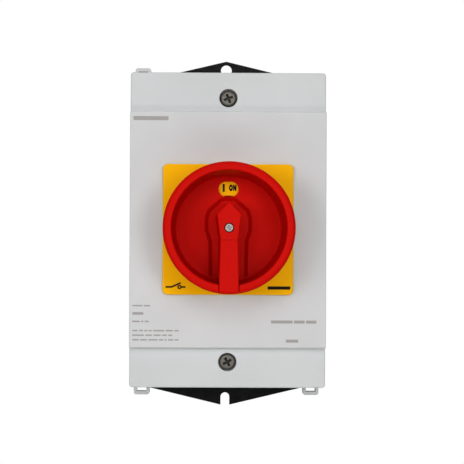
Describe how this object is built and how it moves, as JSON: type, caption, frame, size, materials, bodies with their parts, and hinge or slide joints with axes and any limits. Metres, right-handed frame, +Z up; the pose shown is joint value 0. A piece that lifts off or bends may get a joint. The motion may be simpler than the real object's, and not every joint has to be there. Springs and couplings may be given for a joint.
{
  "type": "rotary isolator switch",
  "caption": "Surface-mounted rotary isolator in a light grey enclosure, with a yellow front plate and a red padlockable handle.",
  "frame": {"origin": "centre of the mounting plate's rear face, which lies against the wall", "axes": "+Z up, +X to the right as the user sees it, front towards -Y"},
  "size_m": [0.1, 0.146, 0.192],
  "materials": {
    "copper": "silver-tipped copper alloy",
    "earth_green": "green-yellow terminal moulding",
    "escutcheon_yellow": "moulded traffic yellow",
    "handle_red": "moulded red thermoplastic",
    "housing_grey": "fine moulded satin, light grey",
    "inner_black": "black glass-filled plastic",
    "inner_grey": "mid grey moulding",
    "neutral_blue": "blue terminal moulding",
    "plate_black": "black powder coat on sheet steel",
    "rotor_white": "natural low-friction plastic",
    "screw_steel": "stainless, recessed heads",
    "seal_rubber": "soft black sealing rubber",
    "zinc_steel": "bright zinc plated"
  },
  "bodies": {
    "root": {"contact_stage_1": "inner_grey", "contact_stage_2": "inner_grey", "contact_stage_3": "inner_grey", "cover": "housing_grey", "cover_gasket": "seal_rubber", "cover_screw_washers": "seal_rubber", "cover_screws": "screw_steel", "detent_plungers": "rotor_white", "detent_springs": "zinc_steel", "earth_terminal": "earth_green", "earth_terminal_screws": "zinc_steel", "enclosure_base": "housing_grey", "fixed_contacts": "copper", "front_plate": "escutcheon_yellow", "front_plate_gasket": "seal_rubber", "front_plate_screws": "zinc_steel", "latch_cover": "inner_black", "latch_housing": "inner_black", "mounting_plate": "plate_black", "mounting_rail": "zinc_steel", "neutral_terminal": "neutral_blue", "neutral_terminal_screws": "zinc_steel", "plate_screws": "zinc_steel", "rail_screws": "zinc_steel", "shaft_bush": "inner_black", "shaft_seal": "seal_rubber", "stack_bolts": "zinc_steel", "switch_foot": "inner_black", "terminal_clamps": "zinc_steel", "terminal_screws": "zinc_steel"},
    "handle": {"handle": "handle_red", "handle_screw": "screw_steel", "handle_shaft": "zinc_steel", "shaft_coupling": "zinc_steel", "coupling_screw": "screw_steel", "switch_spindle": "zinc_steel", "contact_rotor_1": "rotor_white", "contact_rotor_2": "rotor_white", "contact_rotor_3": "rotor_white", "moving_contacts": "copper", "contact_springs": "zinc_steel", "detent_cam": "rotor_white"},
    "slide": {"lock_slide": "handle_red"}
  },
  "joints": [
    {"name": "handle_turn", "type": "hinge", "parent": "root", "child": "handle", "pos_m": [0, -0.12, 0], "axis": [0, -1, 0], "range_deg": [0, 90]},
    {"name": "lock_pull", "type": "slide", "parent": "handle", "child": "slide", "axis": [0, 0, -1], "range_m": [0, 0.015]}
  ]
}
